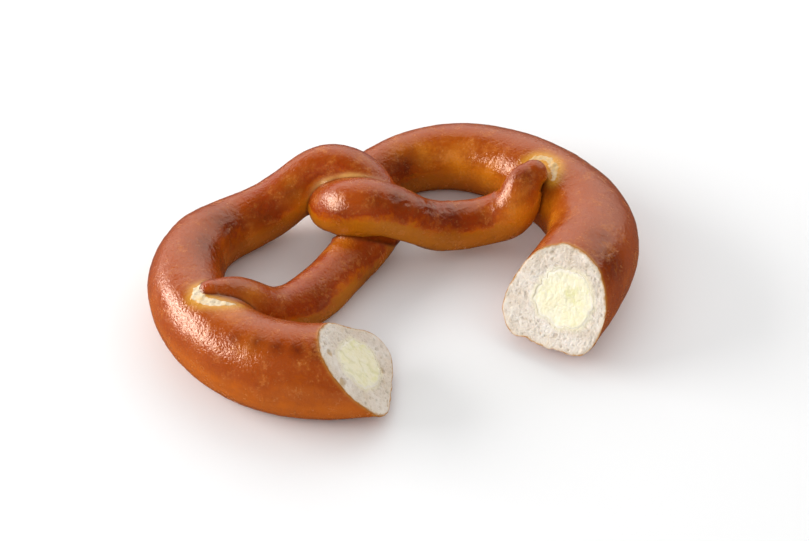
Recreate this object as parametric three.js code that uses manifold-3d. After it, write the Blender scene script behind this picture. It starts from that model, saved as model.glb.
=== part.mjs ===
// A soft pretzel with a soft cheese filling, baked in one piece, with the middle of its belly cut away.
//
// Millimetres, +Z up. The pretzel lies flat on z = 0. X runs across it from the left lobe to the right
// lobe, and Y from the cut belly to the back, where the two ropes come together in the twist. The origin
// is on the resting plane, under the middle of the pretzel's bounding box.
//
// Each half is one rope of dough: it starts at the cut in the belly, goes round its lobe as an ellipse,
// passes over and under the other rope in the twist, and comes back as a thinner arm whose tip is baked
// onto the lobe. The filling lies in the thick part of each rope and shows at the two cut faces.
import * as THREE from 'three';
import Module from 'manifold-3d';

// Driving dimensions.
const SECTION_SIDES = 24; // faces round a rope
const FILLING_SIDES = 16; // faces round a core of filling
const RING_SPACING = 4; // distance between two sections along a rope
const TIP_RINGS = 3; // sections that round off the end of an arm
const PRESSED = 1.5; // how deep the dough's own weight presses it flat on the tray
const TOP_ROUNDNESS = 2; // superellipse exponent of a section's upper half
const FOOT_ROUNDNESS = 2.15; // superellipse exponent of a section's lower half
const LOBE_STEP = 18; // degrees between two guide points of a lobe
const BELLY_STEPS = 3; // guide points beyond the lobe, in the belly
const BEND_SPAN = 0.01; // share of the rope's line over which its bend is measured, each way
const BEND_ROOM = 0.8; // share of a bend's radius that a section may fill towards its inside
const STRAIGHT = 1e-6; // bend below which a rope counts as straight
const SWELL_REACH = 18; // how far behind a cut the swells of its rim have faded out
const SPLIT = 0.8; // share of a rope's length at which its lobe and twist end and its arm begins
const TEAR_SIDES = 14; // faces round a torn crack's crumb
const TEAR_RINGS = 10; // faces along it
const FILLING_GAP = 0.3; // clearance between the filling and the hollow that holds it
const FILLING_SPACING = 6; // distance between two sections along a core of filling
const FILLING_TAPER = 26; // length over which a core narrows to its rounded end
const FILLING_PROUD = 0.7; // how far the filling swells out of the cut face on average
const CURD_HEIGHT = 0.8; // height of the curd lumps on the cut filling
const CURD_SIZE = 5.5; // distance from lump to lump
const CURD_GRID = 1.6; // grid of the lumpy face
const CUTTER_SIZE = 62; // width and height of the blocks that cut the belly
const CUTTER_DEPTH = 44; // depth of these blocks
const CRUST_COLOUR = '#a9592f'; // the glossy red-brown crust
const CHEESE_COLOUR = '#f1ebc0'; // the pale yellow filling

// The left rope, which passes over the right one at the back and under it at the front.
const LEFT = {
  centre: [-38, 9.5],
  halfWidth: 38.7,
  front: 49.2,
  back: 47,
  from: 250,
  to: 92,
  bellyTurn: 5.4,
  belly: 16.9,
  shoulder: 11.3,
  taper: 1.5,
  cut: { at: [-39.2, -43.3, 15.9], azimuth: -31.7, tilt: 41.3 },
  swells: [
    { toward: -16, spread: 23, by: 5.8 },
    { toward: -80.3, spread: 33.6, by: -6.2 },
    { toward: -122.6, spread: 16.7, by: -2.8 },
    { toward: -82.4, spread: 17.2, by: 2.3 },
  ],
  filling: { wide: 0.66, high: 0.45, lean: -14, side: 2, up: 1.2, until: 0.44 },
  tear: { at: [-72.8, 2.8, 26.6], azimuth: -50, half: [9, 3.6, 3.2] },
  guides: [
    // x, y, height of the rope's middle, half width
    [-22, 54.1, 13.8, 11.2],
    [-4.4, 56, 25.8, 9.4],
    [7.5, 43.6, 25.9, 10.3],
    [9.2, 30, 13, 11],
    [-2, 23, 9, 10.2],
    [-18.5, 13.6, 8.5, 9.7],
    [-35, 5, 7.7, 9.9],
    [-50.5, 4.1, 9.2, 8.5],
    [-60.2, 7, 19, 8.6],
    [-66.8, 6.2, 24.2, 7.1],
    [-71.7, 7.1, 26.3, 5.2],
  ],
};

// The right rope, which is a little thicker.
const RIGHT = {
  centre: [34.3, -0.8],
  halfWidth: 42.7,
  front: 42.4,
  back: 59,
  from: -62,
  to: 98,
  bellyTurn: -1.1,
  belly: 18.9,
  shoulder: 11.7,
  taper: 0.9,
  cut: { at: [37.6, -49.9, 18.8], azimuth: -153.5, tilt: 35.9 },
  swells: [
    { toward: -81.8, spread: 41.2, by: -8.4 },
    { toward: -122, spread: 14.7, by: -2.3 },
    { toward: -85.4, spread: 16.1, by: 2.4 },
    { toward: -161, spread: 27, by: 2.5 },
  ],
  filling: { wide: 0.6, high: 0.44, lean: 5, side: 2, up: 3.4, until: 0.44 },
  tear: { at: [72.5, 9.5, 26.9], azimuth: 75, half: [9, 3.6, 3.2] },
  guides: [
    [20.1, 56.6, 9.6, 11.3],
    [7.4, 50.4, 9.5, 10.3],
    [-4, 44, 13, 10.5],
    [-7.1, 33.9, 19.6, 11.7],
    [-2.2, 26, 24.6, 12.8],
    [6.3, 19.8, 24.3, 11.3],
    [16.3, 16.3, 16.4, 10.4],
    [28.6, 12.9, 13, 9.6],
    [43.5, 9.4, 12.2, 9.2],
    [51, 5.2, 16.2, 10.2],
    [53.9, 4, 22.3, 8.1],
    [57.4, 6.8, 27.7, 7.4],
    [61.9, 7, 29.9, 5.2],
  ],
};

const UP = new THREE.Vector3(0, 0, 1);
const radians = THREE.MathUtils.degToRad;
const mix = THREE.MathUtils.lerp;
const wasm = await Module();
wasm.setup();

// The guide points of a rope: along the gently turning belly from beyond the cut, round the lobe's
// ellipse by formula, then through the twist and the arm. Each is x, y, height of the rope's middle and
// half width.
function guidePoints(rope) {
  const { centre, halfWidth, front, back } = rope;
  const turns = Math.round(Math.abs(rope.to - rope.from) / LOBE_STEP);
  const lobe = [];
  for (let i = 0; i <= turns; i++) {
    const share = i / turns;
    const angle = radians(mix(rope.from, rope.to, share));
    const thick = mix(rope.belly, rope.shoulder, share ** rope.taper);
    lobe.push([
      centre[0] + halfWidth * Math.cos(angle),
      centre[1] + (Math.sin(angle) < 0 ? front : back) * Math.sin(angle),
      thick - PRESSED,
      thick,
    ]);
  }
  const belly = [];
  let [bx, by] = lobe[0];
  let heading = Math.atan2(by - lobe[1][1], bx - lobe[1][0]);
  const stride = Math.hypot(bx - lobe[1][0], by - lobe[1][1]);
  for (let k = 0; k < BELLY_STEPS; k++) {
    heading += radians(rope.bellyTurn);
    bx += stride * Math.cos(heading);
    by += stride * Math.sin(heading);
    belly.unshift([bx, by, lobe[0][2], lobe[0][3]]);
  }
  return [...belly, ...lobe, ...rope.guides];
}

// The middle line of a rope: a uniform cubic B-spline, smooth in slope and bend, that also carries the
// rope's half width.
class RopeLine extends THREE.Curve {
  constructor(points) {
    super();
    this.points = points;
  }

  blend(u) {
    const { points } = this;
    const last = points.length - 1;
    const place = THREE.MathUtils.clamp(u, 0, 1) * last;
    const k = Math.min(Math.floor(place), last - 1);
    const t = place - k;
    const beyond = (a, b) => a.map((v, i) => 2 * v - b[i]);
    const before = k > 0 ? points[k - 1] : beyond(points[0], points[1]);
    const after = k + 2 <= last ? points[k + 2] : beyond(points[last], points[last - 1]);
    const weights = [
      (1 - t) ** 3 / 6,
      (3 * t ** 3 - 6 * t ** 2 + 4) / 6,
      (-3 * t ** 3 + 3 * t ** 2 + 3 * t + 1) / 6,
      t ** 3 / 6,
    ];
    const near = [before, points[k], points[k + 1], after];
    return points[0].map((_, i) => near.reduce((sum, p, j) => sum + weights[j] * p[i], 0));
  }

  getPoint(u, target = new THREE.Vector3()) {
    return target.fromArray(this.blend(u));
  }

  halfWidth(u) {
    return this.blend(u)[3];
  }
}

// A place on the rope's line, with the directions across it and the bend there.
function station(line, share) {
  const u = line.getUtoTmapping(share);
  const ahead = Math.min(u + BEND_SPAN, 1);
  const behind = Math.max(u - BEND_SPAN, 0);
  const tangent = line.getTangent(u);
  const side = tangent.clone().cross(UP).normalize();
  const up = side.clone().cross(tangent).normalize();
  const run = line.getPoint(ahead).distanceTo(line.getPoint(behind));
  const bend = line.getTangent(ahead).sub(line.getTangent(behind)).divideScalar(run);
  return { at: line.getPoint(u), half: line.halfWidth(u), tangent, side, up, bend };
}

// A point of a cut plane, the way out of the bread, and two ways along the plane: level and rising.
function cutFrame(cut) {
  const azimuth = radians(cut.azimuth);
  const tilt = radians(cut.tilt);
  const flat = new THREE.Vector3(Math.cos(azimuth), Math.sin(azimuth), 0);
  const out = flat.clone().multiplyScalar(Math.cos(tilt)).addScaledVector(UP, Math.sin(tilt));
  const across = UP.clone().cross(flat);
  return { at: new THREE.Vector3(...cut.at), out, across, rise: out.clone().cross(across) };
}

// The rim of a cut, where the crust was pressed out or drawn in: a bell curve round the section for each
// swell, at its full height in the cut and fading out behind it.
function swollen(rope, point, angle) {
  const { at, out } = cutFrame(rope.cut);
  const behind = at.clone().sub(point).dot(out);
  const fade = 1 - THREE.MathUtils.smoothstep(behind, 0, SWELL_REACH);
  const turn = (toward) => THREE.MathUtils.euclideanModulo(angle / radians(1) - toward + 180, 360) - 180;
  return rope.swells.reduce((sum, s) => sum + fade * s.by * Math.exp(-((turn(s.toward) / s.spread) ** 2)), 0);
}

// A closed section round a station, of a half width and a half height: a superellipse that is squarer at
// the foot, kept out of the inside of a tight bend, swollen where a function says so, and pressed flat
// where it meets the tray. A lean turns it in its own plane.
function section(place, [wide, high], sides, { centre = place.at, lean = 0, swell = () => 0 } = {}) {
  const tight = Math.max(place.bend.length(), STRAIGHT);
  const inward = place.bend.clone().divideScalar(tight);
  const room = BEND_ROOM / tight;
  const ring = [];
  for (let j = 0; j < sides; j++) {
    const angle = (2 * Math.PI * j) / sides;
    const power = 2 / (Math.sin(angle) < 0 ? FOOT_ROUNDNESS : TOP_ROUNDNESS);
    const across = wide * Math.sign(Math.cos(angle)) * Math.abs(Math.cos(angle)) ** power;
    const rise = high * Math.sign(Math.sin(angle)) * Math.abs(Math.sin(angle)) ** power;
    const offset = centre.clone().sub(place.at);
    offset.addScaledVector(place.side, across * Math.cos(lean) - rise * Math.sin(lean));
    offset.addScaledVector(place.up, across * Math.sin(lean) + rise * Math.cos(lean));
    offset.addScaledVector(inward, -Math.max(offset.dot(inward) - room, 0));
    const point = place.at.clone().add(offset);
    point.z = Math.max(point.z, 0);
    const more = swell(point, angle);
    point.addScaledVector(place.side, more * Math.cos(angle));
    point.addScaledVector(place.up, more * Math.sin(angle));
    point.z = Math.max(point.z, 0);
    ring.push(point);
  }
  return ring;
}

// A closed body whose skin runs from section to section, with a fan over each end.
function skin(rings, firstEnd, lastEnd) {
  const sides = rings[0].length;
  const points = [...rings.flat(), firstEnd, lastEnd];
  const faces = [];
  const start = points.length - 2;
  const finish = points.length - 1;
  for (let j = 0; j < sides; j++) {
    const next = (j + 1) % sides;
    for (let i = 0; i + 1 < rings.length; i++) {
      const a = i * sides + j;
      const b = i * sides + next;
      faces.push(a, a + sides, b, b, a + sides, b + sides);
    }
    const last = (rings.length - 1) * sides;
    faces.push(start, j, next, finish, last + next, last + j);
  }
  return solid(points, faces);
}

function solid(points, faces) {
  return new wasm.Manifold(
    new wasm.Mesh({
      numProp: 3,
      vertProperties: new Float32Array(points.flatMap((p) => p.toArray())),
      triVerts: new Uint32Array(faces),
    }),
  );
}

function middle(ring) {
  return ring.reduce((sum, p) => sum.add(p), new THREE.Vector3()).divideScalar(ring.length);
}

// One rope: its lobe and twist, and its arm with a rounded tip. The two share one section.
function ropeBodies(rope, line) {
  const length = line.getLength();
  const count = Math.round(length / RING_SPACING);
  const split = Math.round(SPLIT * count);
  const rings = [];
  for (let i = 0; i <= count; i++) {
    const place = station(line, i / count);
    const swell = (point, angle) => swollen(rope, point, angle);
    rings.push(section(place, [place.half, place.half], SECTION_SIDES, { swell }));
  }
  const tip = station(line, 1);
  for (let k = 1; k <= TIP_RINGS; k++) {
    const angle = radians((90 * k) / (TIP_RINGS + 1));
    const place = { ...tip, at: tip.at.clone().addScaledVector(tip.tangent, tip.half * Math.sin(angle)) };
    const half = tip.half * Math.cos(angle);
    rings.push(section(place, [half, half], SECTION_SIDES));
  }
  const end = tip.at.clone().addScaledVector(tip.tangent, tip.half);
  const joint = middle(rings[split]);
  const lobe = skin(rings.slice(0, split + 1), middle(rings[0]), joint);
  const arm = skin(rings.slice(split), joint, end);
  return [lobe, arm];
}

// The swollen crumb of the torn crack beside an arm's tip, an ellipsoid half sunk in the lobe.
function tearBody({ at, azimuth, half }) {
  const along = new THREE.Vector3(Math.cos(radians(azimuth)), Math.sin(radians(azimuth)), 0);
  const across = UP.clone().cross(along);
  const centre = new THREE.Vector3(...at);
  const rings = [];
  for (let i = 1; i < TEAR_RINGS; i++) {
    const lift = Math.PI * (i / TEAR_RINGS - 0.5);
    const ring = [];
    for (let j = 0; j < TEAR_SIDES; j++) {
      const angle = -(2 * Math.PI * j) / TEAR_SIDES;
      const point = centre.clone().addScaledVector(along, half[0] * Math.sin(lift));
      point.addScaledVector(across, half[1] * Math.cos(lift) * Math.cos(angle));
      ring.push(point.addScaledVector(UP, half[2] * Math.cos(lift) * Math.sin(angle)));
    }
    rings.push(ring);
  }
  const start = centre.clone().addScaledVector(along, -half[0]);
  return skin(rings, start, centre.clone().addScaledVector(along, half[0]));
}

// The filling's core in a rope, from beyond the cut to a rounded end in the shoulder.
function core(line, filling, grow) {
  const length = line.getLength();
  const finish = filling.until * length + grow;
  const count = Math.round(finish / FILLING_SPACING);
  const rings = [];
  for (let i = 0; i < count; i++) {
    const run = (finish * i) / count;
    const place = station(line, run / length);
    const late = Math.max(run - (finish - FILLING_TAPER), 0) / FILLING_TAPER;
    const half = place.half * Math.sqrt(1 - late ** 2);
    const size = [half * filling.wide + grow, half * filling.high + grow];
    const centre = place.at.clone().addScaledVector(place.side, filling.side * (1 - late));
    centre.addScaledVector(place.up, filling.up * (1 - late));
    rings.push(section(place, size, FILLING_SIDES, { centre, lean: radians(filling.lean) }));
  }
  return skin(rings, middle(rings[0]), station(line, finish / length).at);
}

// A block whose back face lies in a cut plane, with the block on the side that is cut away. With a height
// given, that face is a grid raised by it.
function cutBlock(cut, height = () => 0, grid = CUTTER_SIZE) {
  const { at, out, across, rise } = cutFrame(cut);
  const steps = Math.round(CUTTER_SIZE / grid);
  const points = [];
  const place = (i, j, depth) => {
    const a = (i / steps - 0.5) * CUTTER_SIZE;
    const b = (j / steps - 0.5) * CUTTER_SIZE;
    const point = at.clone().addScaledVector(across, a).addScaledVector(rise, b);
    return point.addScaledVector(out, depth ?? height(a, b));
  };
  for (let j = 0; j <= steps; j++) {
    for (let i = 0; i <= steps; i++) points.push(place(i, j));
  }
  const faces = [];
  const row = steps + 1;
  for (let j = 0; j < steps; j++) {
    for (let i = 0; i < steps; i++) {
      const a = j * row + i;
      faces.push(a, a + row, a + 1, a + 1, a + row, a + row + 1);
    }
  }
  const rim = [];
  for (let i = 0; i < steps; i++) rim.push(i);
  for (let j = 0; j < steps; j++) rim.push(j * row + steps);
  for (let i = steps; i > 0; i--) rim.push(steps * row + i);
  for (let j = steps; j > 0; j--) rim.push(j * row);
  const far = points.length;
  for (const k of rim) points.push(place(k % row, Math.floor(k / row), CUTTER_DEPTH));
  const hub = points.length;
  points.push(place(steps / 2, steps / 2, CUTTER_DEPTH));
  rim.forEach((k, n) => {
    const next = (n + 1) % rim.length;
    faces.push(k, rim[next], far + n, rim[next], far + next, far + n);
    faces.push(far + n, far + next, hub);
  });
  return solid(points, faces);
}

// Rounded curd lumps on the cut filling.
function curds(a, b) {
  const turn = (2 * Math.PI) / CURD_SIZE;
  const one = Math.sin(a * turn + 1.1 * Math.sin(b * turn * 0.63));
  const two = Math.sin(b * turn * 0.9 + 1.3 * Math.sin(a * turn * 0.57 + 1));
  return FILLING_PROUD + CURD_HEIGHT * 0.5 * (one + two);
}

function toGeometry(body) {
  const mesh = body.getMesh();
  const geometry = new THREE.BufferGeometry();
  geometry.setAttribute('position', new THREE.BufferAttribute(mesh.vertProperties, 3));
  geometry.setIndex(new THREE.BufferAttribute(mesh.triVerts, 1));
  geometry.computeVertexNormals();
  return geometry;
}

// The loaf is all rope bodies in one solid, less the cut belly and the hollows of the filling.
const ropes = { left: LEFT, right: RIGHT };
const fillings = {};
let loaf = null;
const hollows = [];
for (const [name, rope] of Object.entries(ropes)) {
  const line = new RopeLine(guidePoints(rope));
  for (const body of [...ropeBodies(rope, line), tearBody(rope.tear)]) loaf = loaf ? loaf.add(body) : body;
  hollows.push(cutBlock(rope.cut), core(line, rope.filling, FILLING_GAP));
  fillings[name] = core(line, rope.filling, 0).subtract(cutBlock(rope.cut, curds, CURD_GRID));
}
for (const hollow of hollows) loaf = loaf.subtract(hollow);

const crust = new THREE.MeshStandardMaterial({ color: CRUST_COLOUR, roughness: 0.38, metalness: 0 });
const cheese = new THREE.MeshStandardMaterial({ color: CHEESE_COLOUR, roughness: 0.6, metalness: 0 });

const group = new THREE.Group();
group.name = 'soft_pretzel';
const bread = new THREE.Mesh(toGeometry(loaf), crust);
bread.name = 'bread';
group.add(bread);
for (const [name, body] of Object.entries(fillings)) {
  const mesh = new THREE.Mesh(toGeometry(body), cheese.clone());
  mesh.name = `filling_${name}`;
  group.add(mesh);
}
const box = new THREE.Box3().setFromObject(bread);
const centre = box.getCenter(new THREE.Vector3());
for (const mesh of group.children) mesh.geometry.translate(-centre.x, -centre.y, -box.min.z);

export default group;
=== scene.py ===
"""A soft pretzel with a soft cheese filling, its belly cut away, on a plain pale floor.

Lengths inside the shape functions are in millimetres, in the pretzel's own frame; MM turns them into
metres when a mesh is made.
"""

import math

import bpy
import numpy as np
from bpy.props import FloatProperty, FloatVectorProperty, IntProperty, PointerProperty
from mathutils import Matrix, Vector


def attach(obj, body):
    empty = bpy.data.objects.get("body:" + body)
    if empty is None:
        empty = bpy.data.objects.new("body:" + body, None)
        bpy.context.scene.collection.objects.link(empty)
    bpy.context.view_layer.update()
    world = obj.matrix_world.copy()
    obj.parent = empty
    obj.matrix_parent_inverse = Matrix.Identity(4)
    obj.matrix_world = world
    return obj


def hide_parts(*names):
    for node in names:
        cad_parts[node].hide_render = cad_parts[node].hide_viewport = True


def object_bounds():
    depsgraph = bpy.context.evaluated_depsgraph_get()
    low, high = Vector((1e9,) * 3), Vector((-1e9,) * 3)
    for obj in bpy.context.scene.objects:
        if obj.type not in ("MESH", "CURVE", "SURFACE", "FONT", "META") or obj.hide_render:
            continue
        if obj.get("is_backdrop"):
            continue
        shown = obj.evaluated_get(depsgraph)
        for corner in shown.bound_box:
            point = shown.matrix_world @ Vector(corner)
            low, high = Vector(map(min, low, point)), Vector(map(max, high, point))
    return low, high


bl_info = {
    "name": "Soft Pretzel",
    "version": (1, 0, 0),
    "blender": (4, 5, 0),
    "location": "View3D > Sidebar > Pretzel",
    "description": "Builds a filled soft pretzel with its crust, crumb and cheese",
    "category": "Add Mesh",
}

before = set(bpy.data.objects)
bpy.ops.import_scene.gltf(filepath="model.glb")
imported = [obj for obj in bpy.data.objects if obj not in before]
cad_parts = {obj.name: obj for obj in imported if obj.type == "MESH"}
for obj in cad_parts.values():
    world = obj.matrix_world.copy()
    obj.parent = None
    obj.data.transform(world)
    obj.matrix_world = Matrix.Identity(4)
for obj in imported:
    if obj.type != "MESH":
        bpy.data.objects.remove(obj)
CAD_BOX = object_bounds()

MM = 0.001
SHIFT = np.array([-0.427, -0.344, 0.0])  # puts the origin under the middle of the bounding box
PRESSED = 1.5  # how deep the dough's own weight presses it flat
TOP_ROUNDNESS = 2.0  # power of the superellipse above its middle
FOOT_ROUNDNESS = 2.15  # and below it
BEND_ROOM = 0.8  # share of a bend's radius that a section may reach inwards
BEND_SPAN = 0.01  # share of the run on either side over which the bend is taken
LOBE_STEP = 18  # degrees between a lobe's guides
BELLY_STEPS = 3  # guides of the belly before the lobe
SWELL_REACH = 18  # how far behind a cut the swells of its rim have faded out
FILLING_TAPER = 26  # length over which a core narrows to its rounded end
BODY = "root"

CRUST_ROWS = 640  # rings along a rope
CRUST_COLUMNS = 148  # points round it
CRUMB_ROWS = 150
CRUMB_COLUMNS = 360
CHEESE_ROWS = 130  # rings of a core's face
CORE_ROWS = 70  # rings of the core behind it
CHEESE_COLUMNS = 240
LINE_SAMPLES = 1200
TIP_RINGS = 12  # rings that round off an arm's tip
LOBE_SHARE = 0.62  # share of a rope's length within which its lobe lies
OWN_STRETCH = 60  # how much of itself a rope doesn't touch
WELD_REACH = 2.8  # distance over which two touching ropes run into each other
WELD_HEIGHT = 0.7  # how far the dough rises there
TRAY_EASE = 2.5  # height above the tray at which the dough's relief has its full height
CUT_SEARCH = 75  # length of rope in which its cut is looked for
EASE = 0.6  # distance from the CAD box's sides at which points are drawn in

# A rope: its lobe's ellipse and the angles that it sweeps, its half widths at belly and shoulder, its cut,
# the swells of the cut's rim (angle, spread, height), its core of filling, and the guides of twist and arm
# (x, y, height, half width).
LEFT = {
    "centre": (-38, 9.5),
    "half_width": 38.7,
    "front": 49.2,
    "back": 47,
    "sweep": (250, 92),
    "belly_turn": 5.4,
    "belly": 16.9,
    "shoulder": 11.3,
    "taper": 1.5,
    "cut_at": (-39.2, -43.3, 15.9),
    "cut_azimuth": -31.7,
    "cut_tilt": 41.3,
    "swells": [(-16, 23, 5.8), (-80.3, 33.6, -6.2), (-122.6, 16.7, -2.8), (-82.4, 17.2, 2.3)],
    "core": {"wide": 0.66, "high": 0.45, "lean": -14, "side": 2, "lift": 1.2},
    "core_until": 0.44,
    "guides": [
        (-22, 54.1, 13.8, 11.2), (-4.4, 56, 25.8, 9.4), (7.5, 43.6, 25.9, 10.3), (9.2, 30, 13, 11),
        (-2, 23, 9, 10.2), (-18.5, 13.6, 8.5, 9.7), (-35, 5, 7.7, 9.9), (-50.5, 4.1, 9.2, 8.5),
        (-60.2, 7, 19, 8.6), (-66.8, 6.2, 24.2, 7.1), (-71.7, 7.1, 26.3, 5.2),
    ],
    "toast": 0.0,
    "curd": 1.7,
    "seed": 3,
}
RIGHT = {
    "centre": (34.3, -0.8),
    "half_width": 42.7,
    "front": 42.4,
    "back": 59,
    "sweep": (-62, 98),
    "belly_turn": -1.1,
    "belly": 18.9,
    "shoulder": 11.7,
    "taper": 0.9,
    "cut_at": (37.6, -49.9, 18.8),
    "cut_azimuth": -153.5,
    "cut_tilt": 35.9,
    "swells": [(-81.8, 41.2, -8.4), (-122, 14.7, -2.3), (-85.4, 16.1, 2.4), (-161, 27, 2.5)],
    "core": {"wide": 0.6, "high": 0.44, "lean": 5, "side": 2, "lift": 3.4},
    "core_until": 0.44,
    "guides": [
        (20.1, 56.6, 9.6, 11.3), (7.4, 50.4, 9.5, 10.3), (-4, 44, 13, 10.5), (-7.1, 33.9, 19.6, 11.7),
        (-2.2, 26, 24.6, 12.8), (6.3, 19.8, 24.3, 11.3), (16.3, 16.3, 16.4, 10.4), (28.6, 12.9, 13, 9.6),
        (43.5, 9.4, 12.2, 9.2), (51, 5.2, 16.2, 10.2), (53.9, 4, 22.3, 8.1), (57.4, 6.8, 27.7, 7.4),
        (61.9, 7, 29.9, 5.2),
    ],
    "toast": 0.6,
    "curd": 0.8,
    "seed": 8,
}
ROPES = {"left": LEFT, "right": RIGHT}

# Where an arm's tip tore the lobe's crust: points along the crescent of pale crumb, with its half width.
TEARS = {
    "left": [
        (-72.6, 10.4, 28.8, 0.5), (-76.2, 9.0, 29.1, 1.5), (-78.2, 5.6, 29.2, 2.1), (-77.0, 1.8, 29.5, 1.9),
        (-73.6, -1.6, 30.0, 1.7), (-70.0, -3.7, 29.6, 1.3), (-66.8, -4.6, 29.2, 0.5),
    ],
    "right": [
        (65.0, 18.6, 27.0, 0.3), (68.6, 17.4, 28.0, 0.9), (71.2, 14.8, 28.7, 1.2), (72.0, 11.4, 29.1, 1.4),
        (71.2, 7.8, 29.0, 1.6), (69.6, 4.8, 28.5, 1.3), (67.8, 2.4, 27.8, 0.6),
    ],
}

# Where two ropes baked together and the seam between them stayed pale: a point, its reach, its strength.
PALE_SEAMS = {
    "left": [(-8.0, 44.5, 28.0, 9, 0.8), (0.5, 38.4, 30.9, 9, 1.0), (5.4, 30.0, 34.0, 8, 0.8)],
    "right": [(2.0, 17.0, 18.0, 7, 0.5)],
}

# Where the crust is darker, partly from darker baking and partly as painted shade on the lobes' inner flanks
# and along the strand's top: a point, its reach, its strength.
SCORCHES_AND_SHADE = {
    "left": [
        (-46.3, 46.0, 19.5, 13, 0.95), (-59.1, 33.5, 21.6, 12, 0.9), (-32.1, 48.8, 17.2, 11, 0.85),
        (-20.0, 49.0, 24.0, 7, 0.5), (-70.7, -27.6, 30.3, 4.5, 0.8), (-66.0, -33.2, 30.6, 4.5, 0.9),
        (-60.9, -38.2, 30.8, 4.5, 1.0), (-55.1, -42.7, 30.8, 5, 1.0), (-49.8, -46.2, 30.6, 5, 1.0),
        (-46.8, -49.0, 29.8, 5, 0.9), (-76.5, -20.5, 29.6, 4, 0.5), (-63.0, 3.5, 27.5, 6, 0.25),
        (-8.5, 8.1, 10.4, 12, 0.6), (-32.6, 0.7, 14.7, 9, 0.4),
    ],
    "right": [
        (57.9, -51.7, 31.0, 13, 1.0), (59.7, -43.0, 34.0, 9, 0.6), (28.8, 48.7, 16.1, 11, 1.0),
        (19.2, 12.0, 27.3, 11, 1.0), (8.5, 14.5, 32.3, 9, 1.0), (27.0, 8.0, 22.3, 11, 1.0),
        (0.9, 16.7, 34.3, 6, 0.7), (-12.4, 22.0, 27.5, 7, 0.5), (55.6, 4.2, 33.0, 5.5, 0.9),
        (65.5, 1.2, 24.8, 6, 0.7), (36.0, 5.0, 20.9, 8, 0.4),
    ],
}

# Where the crust stayed golden: a point, its reach, its strength.
GOLDEN = {
    "left": [
        (-36.0, 46.0, 11.1, 9, 0.7), (-18.2, 45.2, 20.8, 8, 0.7), (-20.0, 50.0, 26.9, 5, 0.5),
        (-71.0, -8.0, 31.0, 9, 0.5), (-73.3, -27.4, 29.2, 8, 0.3), (-15.7, 18.6, 18.4, 8, 0.6),
        (-60.0, 1.0, 24.0, 8, 0.6), (-48.0, 34.0, 12.0, 10, 0.5),
    ],
    "right": [
        (37.6, 47.2, 19.4, 10, 1.0), (30.0, 52.0, 22.0, 7, 0.7), (47.5, 40.3, 17.3, 12, 1.0),
        (54.7, 29.2, 15.4, 12, 1.0), (58.2, 20.1, 14.6, 10, 0.9), (61.7, -3.0, 21.7, 9, 1.0),
        (56.6, -13.3, 21.1, 10, 0.9), (49.6, -3.2, 22.5, 9, 0.9), (50.5, 0.5, 27.0, 6, 0.6),
        (71.5, 12.0, 29.0, 8, 0.6),
    ],
}


# ---------------------------------------------------------------- numbers


def smooth(low, high, value):
    """0 below low, 1 above high, and a cubic that is level at both ends in between."""
    t = np.clip((value - low) / (high - low), 0, 1)
    return t * t * (3 - 2 * t)


def scatter(cells, seed):
    """A fixed pseudo-random value from 0 to 1 for each whole-number cell (n, k)."""
    primes = np.array([73856093, 19349663, 83492791], np.int64)[: cells.shape[-1]]
    h = (cells.astype(np.int64) * primes).sum(-1) + seed * 2654435761
    h = (h ^ (h >> 13)) * 1274126177 & 0x7FFFFFFF
    h = (h ^ (h >> 16)) * 668265263 & 0x7FFFFFFF
    return (h ^ (h >> 15) & 0x7FFFFFFF) % 65536 / 65535.0


def lumps(points, size, seed):
    """Smooth lumps from -1 to 1: values at the corners of a lattice of the given size, blended by a
    quintic between them."""
    q = points / size
    cell = np.floor(q).astype(np.int64)
    f = q - cell
    w = f * f * f * (f * (f * 6 - 15) + 10)
    dims = points.shape[-1]
    total = np.zeros(points.shape[:-1])
    for corner in range(2**dims):
        step = np.array([(corner >> k) & 1 for k in range(dims)])
        weight = np.where(step, w, 1 - w).prod(-1)
        total += weight * scatter(cell + step, seed)
    return total * 2 - 1


def layers(points, seed, *parts):
    """A sum of lumps; each part is a height, a lump size and a step of the seed."""
    return sum(height * lumps(points, size, seed + step) for height, size, step in parts)


def pits(plane, size, share, seed):
    """Round pits in a plane: one at a random place in a share of the cells of a square lattice, each a
    rounded bowl in section. Returns the depth from 0 to 1."""
    cell = np.floor(plane / size).astype(np.int64)
    depth = np.zeros(plane.shape[:-1])
    for dx in (-1, 0, 1):
        for dy in (-1, 0, 1):
            near = cell + np.array([dx, dy])
            place = np.stack([scatter(near, seed), scatter(near, seed + 1)], -1)
            radius = size * (0.18 + 0.34 * scatter(near, seed + 2))
            stretch = 0.75 + 0.5 * scatter(near, seed + 3)
            gap = (plane - (near + place) * size) / radius[..., None]
            reach = gap[..., 0] ** 2 * stretch + gap[..., 1] ** 2 / stretch
            here = np.clip(1 - reach, 0, None) ** 0.8 * radius / (0.52 * size)
            depth = np.maximum(depth, np.where(scatter(near, seed + 4) < share, here, 0))
    return depth


def knobs(plane, size, seed):
    """Rounded knobs side by side: one minus the squared distance to the nearest of the random places in
    a square lattice's cells."""
    cell = np.floor(plane / size).astype(np.int64)
    nearest = np.full(plane.shape[:-1], 9.0)
    for dx in (-1, 0, 1):
        for dy in (-1, 0, 1):
            near = cell + np.array([dx, dy])
            place = np.stack([scatter(near, seed), scatter(near, seed + 1)], -1)
            gap = plane / size - near - place
            nearest = np.minimum(nearest, (gap**2).sum(-1))
    return 1 - np.clip(nearest, 0, 1)


# ---------------------------------------------------------------- ropes of dough


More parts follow.
